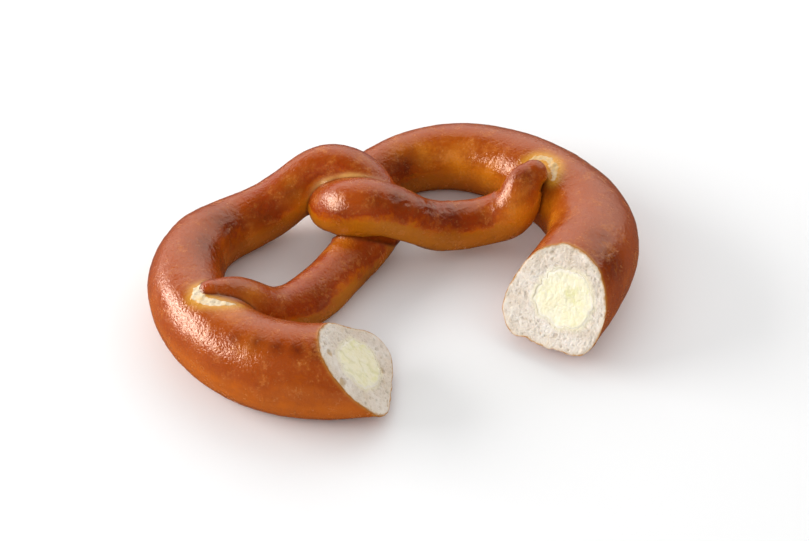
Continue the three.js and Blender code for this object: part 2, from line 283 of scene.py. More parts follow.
def guide_points(rope):
    """x, y, height and half width along a rope: the gently turning belly, the lobe's ellipse with its
    thickness easing from belly to shoulder, then the twist and the arm."""
    first, last = rope["sweep"]
    turns = round(abs(last - first) / LOBE_STEP)
    share = np.arange(turns + 1) / turns
    angle = np.radians(first + (last - first) * share)
    thick = rope["belly"] + (rope["shoulder"] - rope["belly"]) * share ** rope["taper"]
    reach = np.where(np.sin(angle) < 0, rope["front"], rope["back"])
    x = rope["centre"][0] + rope["half_width"] * np.cos(angle)
    y = rope["centre"][1] + reach * np.sin(angle)
    lobe = np.stack([x, y, thick - PRESSED, thick], 1)
    stride = math.hypot(x[0] - x[1], y[0] - y[1])
    start = math.atan2(y[0] - y[1], x[0] - x[1])
    turn = start + math.radians(rope["belly_turn"]) * np.arange(1, BELLY_STEPS + 1)
    bx = x[0] + stride * np.cumsum(np.cos(turn))
    by = y[0] + stride * np.cumsum(np.sin(turn))
    level = np.full(BELLY_STEPS, lobe[0, 2])
    belly = np.stack([bx, by, level, level + PRESSED], 1)[::-1]
    return np.vstack([belly, lobe, np.array(rope["guides"], float)])


def spline(points, u):
    """A uniform cubic B-spline over the guide points at shares u of its run."""
    ends = np.vstack([2 * points[0] - points[1], points, 2 * points[-1] - points[-2]])
    place = np.clip(u, 0, 1) * (len(points) - 1)
    k = np.minimum(place.astype(int), len(points) - 2)
    t = (place - k)[:, None]
    weights = ((1 - t) ** 3, 3 * t**3 - 6 * t**2 + 4, -3 * t**3 + 3 * t**2 + 3 * t + 1, t**3)
    return sum(w * ends[k + i] for i, w in enumerate(weights)) / 6


def near_path(points, path):
    """How far points are outside a path of balls: the least distance to its stretches, each with a radius
    that changes evenly from end to end."""
    path = np.array(path, float)
    best = np.full(points.shape[:-1], 1e3)
    for a, b in zip(path[:-1], path[1:]):
        run = b[:3] - a[:3]
        share = np.clip(((points - a[:3]) @ run) / (run @ run), 0, 1)
        gap = np.linalg.norm(points - a[:3] - share[..., None] * run, axis=-1)
        best = np.minimum(best, gap - (a[3] + (b[3] - a[3]) * share))
    return best


def near_spots(points, spots):
    """From 0 to 1: the strongest of some spots, each a bell curve of its own reach."""
    best = np.zeros(points.shape[:-1])
    for x, y, z, reach, strength in spots:
        gap = np.linalg.norm(points - np.array([x, y, z]), axis=-1) / reach
        best = np.maximum(best, strength * np.exp(-2 * gap**2))
    return best


def unit(v):
    """Vectors at length one."""
    return v / np.maximum(np.linalg.norm(v, axis=-1, keepdims=True), 1e-12)


class RopeLine:
    """A rope's middle line, sampled evenly by length, with its half width, the directions along, across
    and up, and its bend."""

    def __init__(self, rope):
        points = guide_points(rope)
        u = np.linspace(0, 1, 6001)
        fine = spline(points, u)
        steps = np.linalg.norm(np.diff(fine[:, :3], axis=0), axis=1)
        run = np.concatenate([[0], np.cumsum(steps)])
        self.length = run[-1]
        self.s = np.linspace(0, self.length, LINE_SAMPLES)
        place = np.interp(self.s, run, u)
        full = spline(points, place)
        self.at, self.half = full[:, :3], full[:, 3]
        tangent = np.gradient(fine[:, :3], axis=0)
        ahead = np.clip(place + BEND_SPAN, 0, 1)
        behind = np.clip(place - BEND_SPAN, 0, 1)
        pick = lambda values, v: np.stack([np.interp(v, u, values[:, i]) for i in range(3)], 1)
        self.along = unit(pick(tangent, place))
        self.across = unit(np.cross(self.along, [0, 0, 1.0]))
        self.up = unit(np.cross(self.across, self.along))
        gap = np.linalg.norm(pick(fine, ahead) - pick(fine, behind), axis=1, keepdims=True)
        self.bend = (unit(pick(tangent, ahead)) - unit(pick(tangent, behind))) / gap

    def values(self, s):
        """Everything at lengths s: place, half width, along, across, up and bend."""

        def pick(values):
            if values.ndim == 1:
                return np.interp(s, self.s, values)
            return np.stack([np.interp(s, self.s, values[:, i]) for i in range(3)], -1)

        frame_of = (self.along, self.across, self.up)
        return pick(self.at), pick(self.half), *(unit(pick(v)) for v in frame_of), pick(self.bend)

    def skin(self, s, angle, wide=1.0, high=1.0, lean=0.0, side=0.0, lift=0.0):
        """Points at length s and angle round a section: a superellipse, squarer at the foot, turned by
        its lean, kept out of the inside of tight bends and pressed flat on the tray."""
        at, half, along, across, up, bend = self.values(s)
        power = 2 / np.where(np.sin(angle) < 0, FOOT_ROUNDNESS, TOP_ROUNDNESS)
        flat = half * wide * np.sign(np.cos(angle)) * np.abs(np.cos(angle)) ** power
        tall = half * high * np.sign(np.sin(angle)) * np.abs(np.sin(angle)) ** power
        turn = math.radians(lean)
        sideways = flat * math.cos(turn) - tall * math.sin(turn) + side
        upwards = flat * math.sin(turn) + tall * math.cos(turn) + lift
        offset = sideways[..., None] * across + upwards[..., None] * up
        tight = np.maximum(np.linalg.norm(bend, axis=-1), 1e-6)
        inward = bend / tight[..., None]
        excess = np.maximum((offset * inward).sum(-1) - BEND_ROOM / tight, 0)
        points = at + offset - excess[..., None] * inward
        points[..., 2] = np.maximum(points[..., 2], 0)
        return points


LINES = {name: RopeLine(rope) for name, rope in ROPES.items()}


def angles(columns):
    """Angles spaced evenly round a section."""
    return np.arange(columns) * 2 * math.pi / columns


def cut_plane(rope):
    """A point of the cut plane, the direction out of the bread and two directions in the plane."""
    azimuth, tilt = math.radians(rope["cut_azimuth"]), math.radians(rope["cut_tilt"])
    flat = np.array([math.cos(azimuth), math.sin(azimuth), 0])
    out = flat * math.cos(tilt) + np.array([0, 0, math.sin(tilt)])
    across = np.cross([0, 0, 1.0], flat)
    return np.array(rope["cut_at"], float), out, across, np.cross(out, across)


def rope_skin(rope, line, s, angle):
    """A rope's skin with the swells of its cut rim: bell curves round the section, at their full height
    in the cut and fading out behind it."""
    at, out, _, _ = cut_plane(rope)
    points = line.skin(s, angle)
    _, _, _, across, up, _ = line.values(s)
    fade = 1 - smooth(0, SWELL_REACH, (at - points) @ out)
    more = np.zeros(s.shape)
    for toward, spread, by in rope["swells"]:
        turn = (np.degrees(angle) - toward + 180) % 360 - 180
        more += by * np.exp(-((turn / spread) ** 2))
    away = np.cos(angle)[..., None] * across + np.sin(angle)[..., None] * up
    points = points + (fade * more)[..., None] * away
    points[..., 2] = np.maximum(points[..., 2], 0)
    return points


def cut_lengths(rope, skin, angle):
    """For each angle, the length at which a skin leaves the cut plane for good."""
    at, out, _, _ = cut_plane(rope)
    s = np.linspace(0, CUT_SEARCH, 901)
    grid_s, grid_a = np.meshgrid(s, angle, indexing="ij")
    height = (skin(grid_s, grid_a) - at) @ out
    last = len(s) - 1 - np.argmax((height > 0)[::-1], axis=0)
    last = np.clip(last, 0, len(s) - 2)
    column = np.arange(len(angle))
    low, high = height[last, column], height[last + 1, column]
    return s[last] + (s[1] - s[0]) * low / (low - high)


def rope_distance(points, line, along=None):
    """How far points are outside a rope's skin. With their own lengths given, the rope's own stretch near
    them doesn't count."""
    best = np.full(len(points), 1e3)
    pick = slice(None, None, 3)
    at, half, s = line.at[pick], line.half[pick], line.s[pick]
    for start in range(0, len(points), 4000):
        block = slice(start, start + 4000)
        gap = np.linalg.norm(points[block, None] - at[None], axis=2) - half[None]
        if along is not None:
            gap = np.where(np.abs(along[block, None] - s[None]) < OWN_STRETCH, 1e3, gap)
        best[block] = gap.min(1)
    return best


def grid_normals(points):
    """Outward directions of a grid that closes round its second index."""
    along = np.gradient(points, axis=0)
    around = np.roll(points, -1, axis=1) - np.roll(points, 1, axis=1)
    return unit(np.cross(along, around))


def rope_surface(name, rows, columns):
    """The crust of one rope: a grid of length and angle from the cut to the tip, where it closes in a
    quarter circle; then uneven dough, softened creases where ropes touch, torn crescents and a ragged cut
    edge. Returns the grid and per-point values."""
    rope, line = ROPES[name], LINES[name]
    other = LINES["right" if name == "left" else "left"]
    seed = rope["seed"]
    angle = angles(columns)
    skin = lambda s, a: rope_skin(rope, line, s, a)
    start = cut_lengths(rope, skin, angle)
    share = np.linspace(0, 1, rows)[:, None]
    s = start[None] + share * (line.length - start[None])
    grid = skin(s, np.broadcast_to(angle, s.shape))
    dome = np.radians(np.arange(1, TIP_RINGS) * 90 / TIP_RINGS)
    at, half, along = (v[0] for v in line.values(np.array([line.length]))[:3])
    at_tip = np.full((len(dome), columns), line.length)
    cap = line.skin(at_tip, np.broadcast_to(angle, at_tip.shape))
    cap = at + (cap - at) * np.cos(dome)[:, None, None]
    cap = cap + along * (half * np.sin(dome))[:, None, None]
    grid = np.vstack([grid, cap])
    s = np.vstack([s, at_tip])
    normal = grid_normals(grid)
    flat = grid.reshape(-1, 3)
    away = np.minimum(rope_distance(flat, other), rope_distance(flat, line, s.reshape(-1)))
    away = away.reshape(s.shape)
    tear = np.where(s < LOBE_SHARE * line.length, near_path(grid, TEARS[name]), 99.0)
    ragged_tear = tear + layers(grid, seed, (0.45, 1.6, 5), (0.25, 0.8, 6))
    torn = 1 - smooth(-0.45, 0.35, ragged_tear)
    weld = WELD_HEIGHT * np.clip(1 - np.abs(away) / WELD_REACH, 0, 1) ** 2
    uneven = layers(grid, seed, (0.34, 21.0, 0), (0.16, 8.5, 1), (0.075, 3.1, 2), (0.04, 1.5, 4))
    # darker patches: partly darker baking, partly painted shade on the lobes' inner flanks and the strand's
    # top
    scorch = near_spots(grid, SCORCHES_AND_SHADE[name])
    wrinkle = 0.20 * scorch * (1 - np.abs(lumps(grid, 2.2, seed + 7)) * 2)
    lifted = smooth(0.0, TRAY_EASE, grid[..., 2])
    behind = s - start[None]
    ring = np.stack([np.cos(angle) * 16, np.sin(angle) * 16], 1)
    rough = layers(ring, seed, (1.0, 3.4, 9), (0.6, 1.5, 10))
    ragged = 0.34 * np.exp(-behind / 2.2) * rough * (1 + 0.3 * smooth(0.2, 0.7, -np.sin(angle)))
    crumble = torn * (0.1 + layers(grid, seed, (0.45, 1.5, 8), (0.25, 0.8, 11)))
    rise = (uneven + wrinkle - 0.22) * lifted + weld + crumble + ragged * lifted
    grid = grid + normal * rise[..., None]
    grid[..., 2] = np.maximum(grid[..., 2], 0)
    at, out, _, _ = cut_plane(rope)
    grid[0] -= ((grid[0] - at) @ out)[:, None] * out
    facing = grid_normals(grid)[..., 2]
    across = np.sin(angle / 2) ** 2 * 6.5 + 0 * s
    run = np.stack([s / 24, across, np.sin(angle) * 2.4 + 0 * s], -1)
    run_fine = run * np.array([1.7, 3.1, 3.1])
    seam_band = np.exp(-(((away - 0.9) / 1.1) ** 2))
    values = {
        "bake": smooth(-0.55, 0.95, facing + 0.22 * lumps(grid, 11.0, seed + 3)),
        "streak": 0.16 * lumps(run, 1.0, seed + 12) + 0.12 * lumps(run_fine, 1.0, seed + 13),
        "thin": smooth(0.36, 0.56, s / line.length),
        # painted shade: closeness to where two ropes touch, used to darken the crease
        "seam": np.exp(-((np.clip(away, -3, 20) / 0.8) ** 2)),
        "pale": near_spots(grid, PALE_SEAMS[name]) * seam_band,
        "torn": torn,
        "halo": np.exp(-((np.clip(tear, 0, 99) / 2.6) ** 2)),
        "scorch": scorch,
        "golden": near_spots(grid, GOLDEN[name]),
        "toast": np.full(s.shape, rope["toast"]),
        "edge": np.exp(-((behind / 0.9) ** 2)),
    }
    return grid, values


# ---------------------------------------------------------------- meshes


def held_in(points, low, high):
    """Points kept inside a box: near a side they are drawn towards it ever more slowly."""
    over = points - (high - EASE)
    points = np.where(over > 0, high - EASE + EASE * np.tanh(over / EASE), points)
    under = (low + EASE) - points
    return np.where(under > 0, low + EASE - EASE * np.tanh(under / EASE), points)


def to_mesh(name, points, quads, triangles, values=None):
    """A mesh object from points in millimetres, in the pretzel's own frame before its shift."""
    low, high = (np.array(corner) / MM - SHIFT for corner in CAD_BOX)
    points = points.copy()
    points[:, :2] = held_in(points[:, :2], low[:2], high[:2])
    points[:, 2] = np.clip(points[:, 2], 0, high[2] - 0.05)
    mesh = bpy.data.meshes.new(name)
    corners = np.concatenate([quads.reshape(-1), triangles.reshape(-1)]).astype(np.int32)
    sizes = np.concatenate([np.full(len(quads), 4), np.full(len(triangles), 3)])
    starts = np.concatenate([[0], np.cumsum(sizes)[:-1]]).astype(np.int32)
    mesh.vertices.add(len(points))
    mesh.vertices.foreach_set("co", ((points + SHIFT) * MM).astype(np.float32).reshape(-1))
    mesh.loops.add(len(corners))
    mesh.loops.foreach_set("vertex_index", corners)
    mesh.polygons.add(len(sizes))
    mesh.polygons.foreach_set("loop_start", starts)
    mesh.polygons.foreach_set("use_smooth", np.ones(len(sizes), bool))
    mesh.update(calc_edges=True)
    for key, value in (values or {}).items():
        attribute = mesh.attributes.new(key, "FLOAT", "POINT")
        attribute.data.foreach_set("value", value.astype(np.float32).reshape(-1))
    mesh.validate()
    piece = bpy.data.objects.new(name, mesh)
    bpy.context.scene.collection.objects.link(piece)
    return piece


def tube_faces(rows, columns, first_end, last_end):
    """Quads of a grid that closes round, and the fans over both its ends."""
    i, j = np.meshgrid(np.arange(rows - 1), np.arange(columns), indexing="ij")
    a = i * columns + j
    b = i * columns + (j + 1) % columns
    quads = np.stack([a, a + columns, b + columns, b], -1).reshape(-1, 4)
    j = np.arange(columns)
    following = (j + 1) % columns
    base = (rows - 1) * columns
    first = np.stack([np.full(columns, first_end), j, following], 1)
    last = np.stack([np.full(columns, last_end), base + following, base + j], 1)
    return quads, np.vstack([first, last])


def closed_tube(name, grid, first, last, values=None):
    """A closed piece from a grid of rings and a point for each end."""
    rows, columns = grid.shape[:2]
    points = np.vstack([grid.reshape(-1, 3), first, last])
    quads, triangles = tube_faces(rows, columns, len(points) - 2, len(points) - 1)
    full = {}
    for key, value in (values or {}).items():
        full[key] = np.concatenate([value.reshape(-1), [value[0].mean(), value[-1].mean()]])
    return to_mesh(name, points, quads, triangles, full)


def ring_resample(ring, count):
    """A closed ring of points at more angles, straight between its own."""
    own = np.arange(len(ring) + 1) / len(ring)
    more = np.arange(count) / count
    closed = np.vstack([ring, ring[:1]])
    return np.stack([np.interp(more, own, closed[:, i]) for i in range(3)], 1)


SURFACES = {}


def surface_of(name, settings):
    """The crust of a rope, worked out once for its own piece and its cut face."""
    key = (name, settings.rows, settings.columns)
    if key not in SURFACES:
        SURFACES[key] = rope_surface(*key)
    return SURFACES[key]


def core_ring(name, angle):
    """The outline of a core of filling in the cut plane, a little ragged, with its middle and lengths."""
    rope, line = ROPES[name], LINES[name]
    at, out, _, _ = cut_plane(rope)
    start = cut_lengths(rope, lambda s, a: line.skin(s, a, **rope["core"]), angle)
    ring = line.skin(start, angle, **rope["core"])
    ring -= ((ring - at) @ out)[:, None] * out
    middle = ring.mean(0)
    circle = np.stack([np.cos(angle) * 10, np.sin(angle) * 10], 1)
    ragged = 1 + layers(circle, rope["seed"], (0.09, 5.0, 31), (0.06, 2.2, 32), (0.03, 0.9, 33))
    return middle + (ring - middle) * ragged[:, None], middle, start


def rope_piece(name, settings):
    """One rope: its crust, closed by a plain face a little behind the crumb."""
    grid, values = surface_of(name, settings)
    at, out, _, _ = cut_plane(ROPES[name])
    inset = grid[0].mean(0) + (grid[0] - grid[0].mean(0)) * 0.985 - out * 1.4
    rim = {key: np.vstack([value[:1], value]) for key, value in values.items()}
    grid = np.concatenate([inset[None], grid])
    tip = grid[-1].mean(0) + LINES[name].along[-1] * 0.1
    return closed_tube("rope_" + name, grid, inset.mean(0), tip, rim)


def crumb_piece(name, settings):
    """The cut face of one rope: rings from its middle to the crust, with pores of four sizes, a gently
    uneven level and a hollow for the filling, closed by a flat back inside the bread."""
    rope = ROPES[name]
    at, out, across, rise = cut_plane(rope)
    seed = rope["seed"] + 20
    crust = ring_resample(surface_of(name, settings)[0][0], CRUMB_COLUMNS)
    core, middle, _ = core_ring(name, angles(CRUMB_COLUMNS))
    share = np.linspace(0.03, 1, CRUMB_ROWS)[:, None]
    ease = share**0.8
    grid = middle + ease[..., None] * (crust - middle)[None]
    plane = np.stack([(grid - at) @ across, (grid - at) @ rise], -1)
    reach = np.linalg.norm(crust - middle, axis=1)[None]
    wall = reach * (1 - ease)
    inner = np.linalg.norm(grid - middle, axis=2) - polar_radius(core - middle, grid - middle, across, rise)
    warp = np.stack([lumps(plane, 4.0, seed + 1), lumps(plane, 4.0, seed + 2)], -1)
    tiny = pits(plane + 0.2 * warp, 0.8, 0.8, seed + 23)
    small = pits(plane + 0.4 * warp, 1.4, 0.55, seed + 3)
    medium = pits(plane + 0.8 * warp, 2.4, 0.16, seed + 8)
    large = pits(plane + 1.6 * warp, 4.0, 0.07, seed + 13)
    pore = 0.16 * tiny + 0.30 * small + 0.36 * medium + 0.45 * large
    spot = large * (0.6 + 0.4 * lumps(plane, 1.2, seed + 9))
    level = layers(plane, seed, (0.35, 9.0, 5), (0.16, 3.2, 6), (0.12, 0.9, 7), (0.14, 1.7, 17))
    inside = smooth(0.0, 1.2, wall)
    clear = smooth(0.0, 0.9, inner)
    lift = inside * (0.25 + level - pore * clear) - 1.0 * (1 - smooth(-0.9, 0.0, inner))
    grid = grid + out * lift[..., None]
    back = middle + (crust - middle) * 0.97 - out * 1.3
    grid = np.concatenate([grid, back[None]])[::-1]
    values = {"wall": wall, "pore": pore * clear * inside, "spot": spot * clear * inside, "inner": inner}
    values = {key: np.vstack([value, value[-1:]])[::-1] for key, value in values.items()}
    face = middle + out * (0.3 - 1.0)
    return closed_tube("crumb_" + name, grid, back.mean(0), face, values)


def polar_radius(ring, points, across, rise):
    """How far a ring lies from its middle in the direction of each point, in the cut plane."""
    own = np.arctan2(ring @ rise, ring @ across)
    order = np.argsort(own)
    radius = np.linalg.norm(ring, axis=1)[order]
    return np.interp(np.arctan2(points @ rise, points @ across), own[order], radius, period=2 * math.pi)


def filling_piece(name):
    """A core of soft cheese: a face of curd knobs that swells out of the cut, and the core behind it down
    to its rounded end in the shoulder."""
    rope, line = ROPES[name], LINES[name]
    at, out, across, rise = cut_plane(rope)
    seed = rope["seed"] + 40
    angle = angles(CHEESE_COLUMNS)
    ring, middle, start = core_ring(name, angle)
    share = np.linspace(0.015, 1, CHEESE_ROWS)[:, None]
    cap = middle + share[..., None] * (ring - middle)[None]
    plane = np.stack([(cap - at) @ across, (cap - at) @ rise], -1)
    warp = np.stack([lumps(plane, 2.6, seed), lumps(plane, 2.6, seed + 1)], -1)
    stretched = (plane + 1.0 * warp) * np.array([1.3, 0.75])
    big = knobs(stretched, 2.5, seed + 2)
    fine = knobs(plane + 0.5 * warp, 0.95, seed + 5)
    rim = smooth(0.0, 0.10, 1 - share)
    curds = 0.28 * rope["curd"] * big + 0.20 * fine + 0.3 * lumps(plane, 5.0, seed + 8)
    swell = 0.05 + rim * (curds - 0.2)
    cap = cap + out * swell[..., None]
    run = np.linspace(0, 1, CORE_ROWS)[1:, None]
    end = rope["core_until"] * line.length
    s = start[None] + run * (end - start[None])
    late = np.clip((s - (end - FILLING_TAPER)) / FILLING_TAPER, 0, 0.999)
    shrink = np.sqrt(1 - late**2)
    core = rope["core"]
    body = line.skin(
        s,
        np.broadcast_to(angle, s.shape),
        wide=core["wide"] * shrink,
        high=core["high"] * shrink,
        lean=core["lean"],
        side=core["side"] * (1 - late),
        lift=core["lift"] * (1 - late),
    )
    joint = np.exp(-((s - start[None]) / 3.0))[..., None]
    body = body + joint * (ring - line.skin(start, angle, **core))[None]
    grid = np.concatenate([cap, body])
    values = {
        # where painted shade goes between the curds
        "hollow": rope["curd"] * (1 - big) * rim,
        "fringe": (1 - share) * np.linalg.norm(ring - middle, axis=1)[None],
    }
    values = {key: np.concatenate([value, np.zeros(s.shape)]) for key, value in values.items()}
    first = middle + out * float(swell[0].mean())
    last = line.values(np.array([end]))[0][0]
    return closed_tube("cheese_" + name, grid, first, last, values)


# ---------------------------------------------------------------- finishes


class Shading:
    """Short ways to add the nodes of a tree and link them."""

    def __init__(self, tree):
        self.nodes, self.links = tree.nodes, tree.links

    def feed(self, value, slot):
        """Link a socket, or set a plain number or colour on the slot itself."""
        if isinstance(value, bpy.types.NodeSocket):
            self.links.new(value, slot)
        elif hasattr(value, "__len__"):
            slot.default_value = (*value, 1)[:4]
        else:
            slot.default_value = value

    def add(self, kind, inputs=(), **settings):
        """A node with its settings and (slot, value) inputs; gives back its outputs."""
        node = self.nodes.new("ShaderNode" + kind)
        for key, value in settings.items():
            setattr(node, key, value)
        for key, value in inputs:
            self.feed(value, node.inputs[key])
        return node.outputs

    def group(self, tree, size):
        return self.add("Group", [("Size", size)], node_tree=tree)

    def attribute(self, name):
        return self.add("Attribute", attribute_name=name)["Fac"]

    def noise(self, place, scale, detail):
        return self.add("TexNoise", [("Vector", place), ("Scale", scale), ("Detail", detail)])["Fac"]

    def span(self, value, low, high, out_low=0.0, out_high=1.0):
        return self.add("MapRange", enumerate((value, low, high, out_low, out_high)))[0]

    def math(self, kind, *values):
        return self.add("Math", enumerate(values), operation=kind)[0]

    def mix(self, factor, first, second):
        return self.add("Mix", [(0, factor), (6, first), (7, second)], data_type="RGBA")[2]

    def bump(self, height, distance, strength):
        slots = [("Height", height), ("Distance", distance), ("Strength", strength)]
        return self.add("Bump", slots)["Normal"]


def pattern_group(name, outputs, draw):
    """A node group on the piece's own coordinates, times a Size input; draw(shading, place) gives what
    goes to its outputs. It is built once."""
    tree = bpy.data.node_groups.get(name)
    if tree:
        return tree
    tree = bpy.data.node_groups.new(name, "ShaderNodeTree")
    tree.interface.new_socket(name="Size", in_out="INPUT", socket_type="NodeSocketFloat")
    for output in outputs:
        tree.interface.new_socket(name=output, in_out="OUTPUT", socket_type="NodeSocketFloat")
    shading = Shading(tree)
    inside, outside = tree.nodes.new("NodeGroupInput"), tree.nodes.new("NodeGroupOutput")
    place = shading.add("TexCoord")["Object"]
    sizes = [(0, place), ("Scale", inside.outputs["Size"])]
    scaled = shading.add("VectorMath", sizes, operation="SCALE")[0]
    for output, value in zip(outputs, draw(shading, scaled)):
        tree.links.new(value, outside.inputs[output])
    return tree


def grain_group():
    """Fine dough grain: a height of wrinkles (one minus the distance of a noise from its middle) with a
    finer noise on them, and a mask of small uneven specks."""

    def draw(f, place):
        ridge = f.math("ABSOLUTE", f.math("SUBTRACT", f.noise(place, 640.0, 2.0), 0.5))
        fine = f.math("MULTIPLY", f.noise(place, 2300.0, 2.0), 0.35)
        height = f.math("MULTIPLY_ADD", ridge, -2.4, fine)
        return height, f.span(f.noise(place, 1250.0, 1.0), 0.60, 0.72)

    return pattern_group("dough_grain", ("Height", "Mask"), draw)


def mottle_group():
    """Uneven baking: a broad and a middle noise as one value around a half."""

    def draw(f, place):
        broad = f.math("MULTIPLY", f.noise(place, 55.0, 3.0), 0.6)
        return [f.math("MULTIPLY_ADD", f.noise(place, 210.0, 4.0), 0.4, broad)]

    return pattern_group("bake_mottle", ("Value",), draw)


class Finish(Shading):
    """A material under construction."""

    def __init__(self, name):
        self.material = bpy.data.materials.new(name)
        self.material.use_nodes = True
        super().__init__(self.material.node_tree)
        self.shader = self.nodes["Principled BSDF"]

    def put(self, **inputs):
        for key, value in inputs.items():
            slot = self.shader.inputs[key.replace("_", " ")]
            if isinstance(value, bpy.types.NodeSocket):
                self.links.new(value, slot)
            else:
                slot.default_value = value


def crust_finish(settings):
    """Lye-dipped crust: chestnut tops that turn golden towards the foot, darker patches that are partly
    darker baking and partly painted shade, painted shade in the creases, pale seams, torn crumb with painted
    shade in its pores and a golden halo, and a gloss that fine wrinkles break up."""
    f = Finish("lye_crust")
    mottle = f.group(mottle_group(), 1.0)["Value"]
    fine = f.group(mottle_group(), 3.2)["Value"]
    grain = f.group(grain_group(), 1.0)
    drift = f.math("ADD", f.span(mottle, 0.3, 0.7, -0.16, 0.16), f.span(fine, 0.35, 0.65, -0.13, 0.13))
    tone = f.math("ADD", f.math("ADD", f.attribute("bake"), drift), f.attribute("streak"))
    thin = f.attribute("thin")
    colour = f.mix(f.span(tone, 0.34, 0.60), settings.crust_foot, settings.crust_flank)
    colour = f.mix(f.span(tone, 0.52, 0.76), colour, settings.crust_shoulder)
    thick = f.mix(f.span(tone, 0.10, 0.75), settings.crust_belly, settings.crust_top)
    colour = f.mix(f.span(tone, 0.72, 1.0), colour, settings.crust_top)
    colour = f.mix(thin, thick, colour)
    gold = f.math("MULTIPLY", f.attribute("golden"), f.span(fine, 0.40, 0.58, 0.5, 1.0))
    colour = f.mix(gold, colour, settings.crust_gold)
    # darker patches: partly darker baking, partly painted shade on the lobes' inner flanks and the strand's
    # top
    patch = f.math("MULTIPLY", f.attribute("scorch"), f.span(fine, 0.38, 0.58, 0.55, 1.0))
    colour = f.mix(patch, colour, settings.crust_scorch)
    freckle = f.span(f.math("ADD", fine, f.math("MULTIPLY", mottle, 0.5)), 0.78, 0.92, 0.0, 0.34)
    colour = f.mix(freckle, colour, settings.crust_freckle)
    speck = f.math("MULTIPLY", grain["Mask"], f.span(fine, 0.44, 0.60, 0.02, 0.34))
    colour = f.mix(speck, colour, settings.crust_speck)
    colour = f.mix(f.math("MULTIPLY", f.attribute("halo"), 0.75), colour, settings.crust_halo)
    colour = f.mix(f.math("MULTIPLY", f.attribute("edge"), 0.6), colour, settings.crust_edge)
    # painted shade darkens the crease where two ropes touch
    colour = f.mix(f.math("MULTIPLY", f.attribute("seam"), 0.8), colour, settings.crust_crease)
    colour = f.mix(f.attribute("pale"), colour, settings.crust_seam)
    torn = f.span(f.attribute("torn"), 0.25, 0.75)
    browned = f.math("ADD", f.span(fine, 0.45, 0.65), f.attribute("toast"))
    inside = f.mix(browned, settings.crumb_torn, settings.crumb_toasted)
    # painted shade in the pores of the torn crumb, where the grain dips
    inside = f.mix(f.span(grain["Height"], 0.10, -0.35, 0.0, 0.75), inside, settings.crumb_pore)
    colour = f.mix(torn, colour, inside)
    f.put(Base_Color=colour)
    dull = f.math("ADD", f.span(fine, 0.35, 0.65, 0.15, 0.30), f.math("MULTIPLY", torn, 0.5))
    f.put(Roughness=dull, Specular_IOR_Level=0.85, Specular_Tint=(*settings.crust_sheen, 1))
    f.put(Normal=f.bump(grain["Height"], 0.0005, 0.32))
    return f.material


def crumb_finish(settings):
    """Pale crumb: cream with painted shade on its pore floors and in painted pores, a few tan patches,
    browning in a thin line under the crust."""
    f = Finish("pale_crumb")
    mottle = f.group(mottle_group(), 1.4)["Value"]
    fine = f.group(mottle_group(), 4.5)["Value"]
    grain = f.group(grain_group(), 1.5)
    colour = f.mix(f.span(mottle, 0.38, 0.62), settings.crumb, settings.crumb_shade)
    colour = f.mix(f.span(fine, 0.55, 0.66, 0.0, 0.45), colour, settings.crumb_tan)
    coarse = f.span(mottle, 0.42, 0.56, 0.15, 1.0)
    # painted pores: dark specks and dips of the grain get painted shade
    pore_shade = f.math("MULTIPLY", coarse, f.span(fine, 0.46, 0.34, 0.0, 0.42))
    colour = f.mix(pore_shade, colour, settings.crumb_pore)
    pore_shade = f.math("MULTIPLY", coarse, f.span(grain["Height"], 0.10, -0.35, 0.0, 0.36))
    colour = f.mix(pore_shade, colour, settings.crumb_pore)
    # painted shade on the floors of the modelled pores
    colour = f.mix(f.span(f.attribute("pore"), 0.08, 0.5, 0.0, 0.75), colour, settings.crumb_pore)
    colour = f.mix(f.span(f.attribute("spot"), 0.05, 0.5, 0.0, 0.7), colour, settings.crumb_spot)
    colour = f.mix(f.span(f.attribute("inner"), 1.8, 0.0, 0.0, 0.6), colour, settings.cheese)
    wall = f.math("ADD", f.attribute("wall"), f.span(fine, 0.3, 0.7, -0.5, 0.5))
    colour = f.mix(f.span(wall, 1.4, 0.4, 0.0, 0.35), colour, settings.crumb_tan)
    toasted = f.span(wall, 0.7, 0.05)
    colour = f.mix(toasted, colour, settings.crumb_edge)
    f.put(Base_Color=colour, Roughness=0.75, Specular_IOR_Level=0.25)
    f.put(Subsurface_Weight=0.12, Subsurface_Radius=(1.0, 0.7, 0.45), Subsurface_Scale=0.0015)
    f.put(Normal=f.bump(grain["Height"], 0.0006, 0.6))
    return f.material


def cheese_finish(settings):
    """Soft cheese: pale yellow curds with painted shade, darker and yellower, in the hollows between them,
    and a moist sheen.
    """
    f = Finish("soft_cheese")
    mottle = f.group(mottle_group(), 2.4)["Value"]
    fine = f.group(mottle_group(), 6.0)["Value"]
    grain = f.group(grain_group(), 1.2)
    # painted shade in the hollows between the curds
    hollow = f.span(f.attribute("hollow"), 0.35, 0.95, 0.0, 0.7)
    colour = f.mix(f.span(fine, 0.40, 0.62), settings.cheese, settings.cheese_pale)
    colour = f.mix(hollow, colour, settings.cheese_hollow)
    colour = f.mix(f.span(mottle, 0.52, 0.68, 0.0, 0.75), colour, settings.cheese_streak)
    fringe = f.math("ADD", f.attribute("fringe"), f.span(fine, 0.3, 0.7, -0.9, 0.9))
    colour = f.mix(f.span(fringe, 1.5, 0.1, 0.0, 0.8), colour, settings.crumb)
    f.put(Base_Color=colour, Roughness=0.5, Specular_IOR_Level=0.4)
    f.put(Subsurface_Weight=0.15, Subsurface_Radius=(1.0, 0.85, 0.5), Subsurface_Scale=0.0015)
    f.put(Normal=f.bump(grain["Height"], 0.0003, 0.35))
    return f.material


def dress(piece, finish, make, settings, node):
    """Give a piece its finish, made once, in a material slot, tie it to its body and hide the CAD part that
    it stands for.
    """
    piece.data.materials.append(bpy.data.materials.get(finish) or make(settings))
    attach(piece, BODY)
    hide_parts(node)


# ---------------------------------------------------------------- add-on


